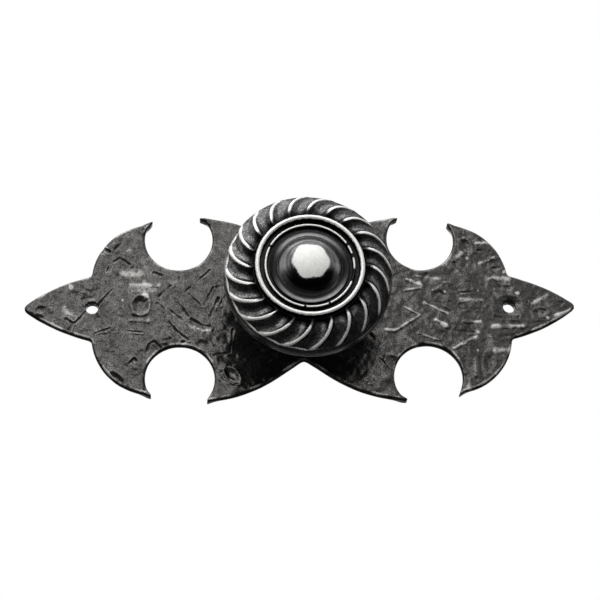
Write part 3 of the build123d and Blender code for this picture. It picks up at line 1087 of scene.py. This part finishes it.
def mixed(tree, kind, factor, first, second):
    """Two numbers, of the kind VALUE, or two colours, of the kind RGBA, mixed by a factor."""
    node = tree.nodes.new("ShaderNodeMix")
    node.data_type = "RGBA" if kind == "RGBA" else "FLOAT"
    tree.links.new(factor, node.inputs["Factor"])
    for label, value in (("A", first), ("B", second)):
        tree.links.new(value, [s for s in node.inputs if (s.name, s.type) == (label, kind)][0])
    return [s for s in node.outputs if s.type == kind][0]


def new_material(name):
    """A new material, its node tree and its shader."""
    material = bpy.data.materials.new(name)
    material.use_nodes = True
    return material, material.node_tree, material.node_tree.nodes["Principled BSDF"]


def cast_grain():
    """Sand-cast skin: fine grains over small pits. Gives a height and a mottle from 0 to 1."""
    group, given, out = socket_group(
        "cast_grain",
        [("Place", "NodeSocketVector", (0, 0, 0)), ("Size", "NodeSocketFloat", 1.0)],
        [("Height", "NodeSocketFloat"), ("Mottle", "NodeSocketFloat")],
    )
    place = scaled(group, given.outputs["Place"], given.outputs["Size"])
    fine = noise_node(group, place, 3000, 2, 0.6)
    pits = ranged(group, noise_node(group, place, 1300, 2, 0.5), 0.30, 0.48)
    soft = noise_node(group, place, 420, 2, 0.5)
    height = math_node(group, "MULTIPLY_ADD", fine, 0.45, math_node(group, "MULTIPLY", pits, 0.4))
    height = math_node(group, "MULTIPLY_ADD", soft, 0.35, height)
    specks = noise_node(group, place, 3300, 2, 0.6)
    clouds = noise_node(group, place, 900, 3, 0.6)
    mottle = math_node(group, "MULTIPLY_ADD", specks, 0.65, math_node(group, "MULTIPLY", clouds, 0.35))
    group.links.new(height, out.inputs["Height"])
    group.links.new(ranged(group, mottle, 0.41, 0.61), out.inputs["Mottle"])
    return group


def rubbed_metal():
    """Black coat rubbed through to bright metal: the rubbed value, broken up by the grain, mixes
    the coat's colour and finish into the metal's. Below zero the coat is darker and more matt: on
    the knob that is mostly painted shade, and on the plate it darkens the cuts and gouges."""
    group, given, out = socket_group(
        "rubbed_metal",
        [
            ("Rubbed", "NodeSocketFloat", 0.0), ("Height", "NodeSocketFloat", 0.5),
            ("Mottle", "NodeSocketFloat", 0.5), ("Coat Dark", "NodeSocketColor", (0, 0, 0, 1)),
            ("Coat Light", "NodeSocketColor", (0, 0, 0, 1)), ("Bright", "NodeSocketColor", (1, 1, 1, 1)),
            ("Coat Roughness", "NodeSocketFloat", 0.5), ("Bright Roughness", "NodeSocketFloat", 0.4),
            ("Coat Metallic", "NodeSocketFloat", 0.5), ("Bright Metallic", "NodeSocketFloat", 0.5),
            ("Speckle", "NodeSocketFloat", 0.3), ("Coat Speckle", "NodeSocketFloat", 1.0),
        ],
        [("Color", "NodeSocketColor"), ("Roughness", "NodeSocketFloat"), ("Metallic", "NodeSocketFloat")],
    )
    take = given.outputs
    broken = math_node(group, "MULTIPLY_ADD", take["Height"], 0.5, -0.27)
    mask = ranged(group, math_node(group, "ADD", take["Rubbed"], broken), 0.18, 0.85)
    undarkened = ranged(group, take["Rubbed"], -0.45, 0.0)
    light = math_node(group, "SUBTRACT", take["Mottle"], 1.0)
    even = math_node(group, "MULTIPLY_ADD", light, take["Coat Speckle"], 1.0)
    shade = math_node(group, "MULTIPLY", even, undarkened)
    coat = mixed(group, "RGBA", shade, take["Coat Dark"], take["Coat Light"])
    dulled = math_node(group, "MULTIPLY_ADD", light, take["Speckle"], 1.0)
    metal = scaled(group, take["Bright"], dulled)
    matt = math_node(group, "ADD", take["Coat Roughness"], 0.14)
    rough = math_node(group, "MULTIPLY_ADD", shade, -0.14, matt)
    results = {
        "Color": mixed(group, "RGBA", mask, coat, metal),
        "Roughness": mixed(group, "VALUE", mask, rough, take["Bright Roughness"]),
        "Metallic": mixed(group, "VALUE", mask, take["Coat Metallic"], take["Bright Metallic"]),
    }
    for label, result in results.items():
        group.links.new(result, out.inputs[label])
    return group


def iron_finish(name, grain, rub, coat_dark, coat_light, bright, coat, rubbed, speckle, bump_depth):
    """A cast iron finish: black coat, its grain, and bright metal where it is rubbed. The coat and
    the rubbed metal each have a roughness, how metallic they are, and how speckled."""
    material, tree, shader = new_material(name)
    skin = tree.nodes.new("ShaderNodeGroup")
    skin.node_tree = grain
    tree.links.new(tree.nodes.new("ShaderNodeTexCoord").outputs["Object"], skin.inputs["Place"])
    # The rubbed value: wear, with painted highlights, and below zero on the knob painted shade
    wear_and_painted_light = tree.nodes.new("ShaderNodeAttribute")
    wear_and_painted_light.attribute_name = "rubbed"
    metal = tree.nodes.new("ShaderNodeGroup")
    metal.node_tree = rub
    tree.links.new(wear_and_painted_light.outputs["Fac"], metal.inputs["Rubbed"])
    for label in ("Height", "Mottle"):
        tree.links.new(skin.outputs[label], metal.inputs[label])
    settings = {
        "Coat Dark": (*coat_dark, 1), "Coat Light": (*coat_light, 1), "Bright": (*bright, 1),
        "Coat Roughness": coat[0], "Coat Metallic": coat[1], "Coat Speckle": speckle[0],
        "Bright Roughness": rubbed[0], "Bright Metallic": rubbed[1], "Speckle": speckle[1],
    }
    for label, value in settings.items():
        metal.inputs[label].default_value = value
    for label, socket in (("Color", "Base Color"), ("Roughness", "Roughness"), ("Metallic", "Metallic")):
        tree.links.new(metal.outputs[label], shader.inputs[socket])
    relief = tree.nodes.new("ShaderNodeBump")
    relief.inputs["Strength"].default_value = 1.0
    relief.inputs["Distance"].default_value = bump_depth * MM
    tree.links.new(skin.outputs["Height"], relief.inputs["Height"])
    tree.links.new(relief.outputs["Normal"], shader.inputs["Normal"])
    return material


# Stage, light and camera

def make_stage():
    """A plain pale floor far below the knob. It takes the lamps' light and shadows, and shows paler
    than that light where the camera sees it. In reflections it is nearly dark, like the world below
    the horizon, but for a grey that sets in some way behind the door and in front of it."""
    material, tree, shader = new_material("pale_floor")
    shader.inputs["Base Color"].default_value = (0.3, 0.3, 0.3, 1)
    shader.inputs["Roughness"].default_value = 0.9
    shader.inputs["Emission Color"].default_value = (1, 1, 1, 1)
    from_camera, mirrored = ways_of_seeing(tree)
    seen = math_node(tree, "MULTIPLY", from_camera, 0.84)
    centred = tree.nodes.new("ShaderNodeTexCoord").outputs["Object"]
    place = tree.nodes.new("ShaderNodeSeparateXYZ")
    tree.links.new(centred, place.inputs["Vector"])
    away = tree.nodes.new("ShaderNodeVectorMath")
    away.operation = "LENGTH"
    tree.links.new(centred, away.inputs[0])
    far = ranged(tree, away.outputs["Value"], 3.6, 6.0, 0.01, 0.3)
    behind = math_node(tree, "MULTIPLY", far, ranged(tree, place.outputs["Y"], -0.5, 1.6, 0.03, 1.0))
    before = ranged(tree, place.outputs["Y"], -3.8, -1.6, 0.14, 0.0)
    grey = math_node(tree, "MAXIMUM", behind, before)
    glow = math_node(tree, "MULTIPLY_ADD", mirrored, grey, seen)
    tree.links.new(glow, shader.inputs["Emission Strength"])
    mesh = bpy.data.meshes.new("pale_floor")
    sides = ((-1, -1), (1, -1), (1, 1), (-1, 1))
    corners = [(x * floor_reach, y * floor_reach, floor_level) for x, y in sides]
    mesh.from_pydata(corners, [], [(0, 1, 2, 3)])
    mesh.materials.append(material)
    floor = put("pale_floor", mesh)


def make_world():
    """White where the camera looks at it. Reflections see a dome that is white overhead and dim
    below the horizon, and matt surfaces get a softer fill from the same dome."""
    world = bpy.data.worlds.new("studio")
    world.use_nodes = True
    bpy.context.scene.world = world
    tree = world.node_tree
    backdrop = tree.nodes["Background"]
    backdrop.inputs["Color"].default_value = (1, 1, 1, 1)
    from_camera, mirrored = ways_of_seeing(tree)
    soft = math_node(tree, "MULTIPLY_ADD", mirrored, 1 - fill_from_world, fill_from_world)
    towards = tree.nodes.new("ShaderNodeSeparateXYZ")
    tree.links.new(tree.nodes.new("ShaderNodeTexCoord").outputs["Generated"], towards.inputs["Vector"])
    overhead = ranged(tree, towards.outputs["Z"], -0.02, 0.32, 0.02, 1.0)
    dome = math_node(tree, "MULTIPLY", soft, overhead)
    tree.links.new(math_node(tree, "MAXIMUM", from_camera, dome), backdrop.inputs["Strength"])


def add_softbox(name, place, size, power, mirrored):
    """A square soft lamp, turned to the knob. One that isn't mirrored lights matt surfaces only."""
    lamp = bpy.data.lights.new(name, "AREA")
    lamp.size = size
    lamp.energy = power
    box = put(name, lamp)
    box.location = place
    box.visible_glossy = mirrored
    aim = Vector(lamps_aim) - Vector(place)
    box.rotation_euler = aim.to_track_quat("-Z", "Y").to_euler()


def make_camera():
    """The photograph's camera: its back points from the object to it, and it rolls a little."""
    azimuth, elevation, roll = map(math.radians, (camera_azimuth, camera_elevation, camera_roll))
    back = Vector((
        math.sin(azimuth) * math.cos(elevation),
        -math.cos(azimuth) * math.cos(elevation),
        math.sin(elevation),
    ))
    level = Vector((0, 0, 1)).cross(back).normalized()
    upright = back.cross(level)
    right = math.cos(roll) * level + math.sin(roll) * upright
    up = math.cos(roll) * upright - math.sin(roll) * level
    camera = bpy.data.cameras.new("photograph")
    camera.lens = camera_lens
    camera.sensor_width = sensor_width
    camera.clip_start = 0.01
    seat = put("photograph", camera)
    turned = Matrix((right, up, back)).transposed().to_4x4()
    seat.matrix_world = Matrix.Translation(Vector(camera_place) * MM) @ turned
    bpy.context.scene.camera = seat


make_camera()
make_stage()
make_world()
for name, lamp in lamps.items():
    add_softbox(name, *lamp)
bpy.context.scene.view_settings.view_transform = "Standard"

grain = cast_grain()
rub = rubbed_metal()
plate_iron = iron_finish(
    "chased_iron", grain, rub, (0.010, 0.010, 0.010), (0.080, 0.077, 0.074), (0.50, 0.49, 0.47),
    coat=(0.12, 0.9), rubbed=(0.45, 0.5), speckle=(0.8, 0.25), bump_depth=0.024)
knob_iron = iron_finish(
    "rubbed_iron", grain, rub, (0.010, 0.010, 0.010), (0.150, 0.147, 0.147), (0.84, 0.83, 0.81),
    coat=(0.17, 0.95), rubbed=(0.40, 0.40), speckle=(0.8, 0.15), bump_depth=0.026)
dome_iron = iron_finish(
    "burnished_iron", grain, rub, (0.01, 0.01, 0.01), (0.29, 0.288, 0.296), (0.94, 0.94, 0.91),
    coat=(0.22, 1.0), rubbed=(0.70, 0.35), speckle=(0.25, 0.12), bump_depth=0.008)
screw_zinc = iron_finish(
    "zinc_plate", grain, rub, (0.42, 0.43, 0.44), (0.60, 0.61, 0.62), (0.75, 0.76, 0.78),
    coat=(0.30, 0.9), rubbed=(0.30, 0.9), speckle=(0.4, 0.1), bump_depth=0.006)

dressed = [
    (make_backplate(plate_iron), "plate_casting", "backplate"),
    (make_knob(knob_iron, dome_iron), "knob_casting", "knob"),
    (make_screw(screw_zinc), "screw_steel", "machine_screw"),
]
for piece, slot, node in dressed:
    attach(piece, "root")
    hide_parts(node)
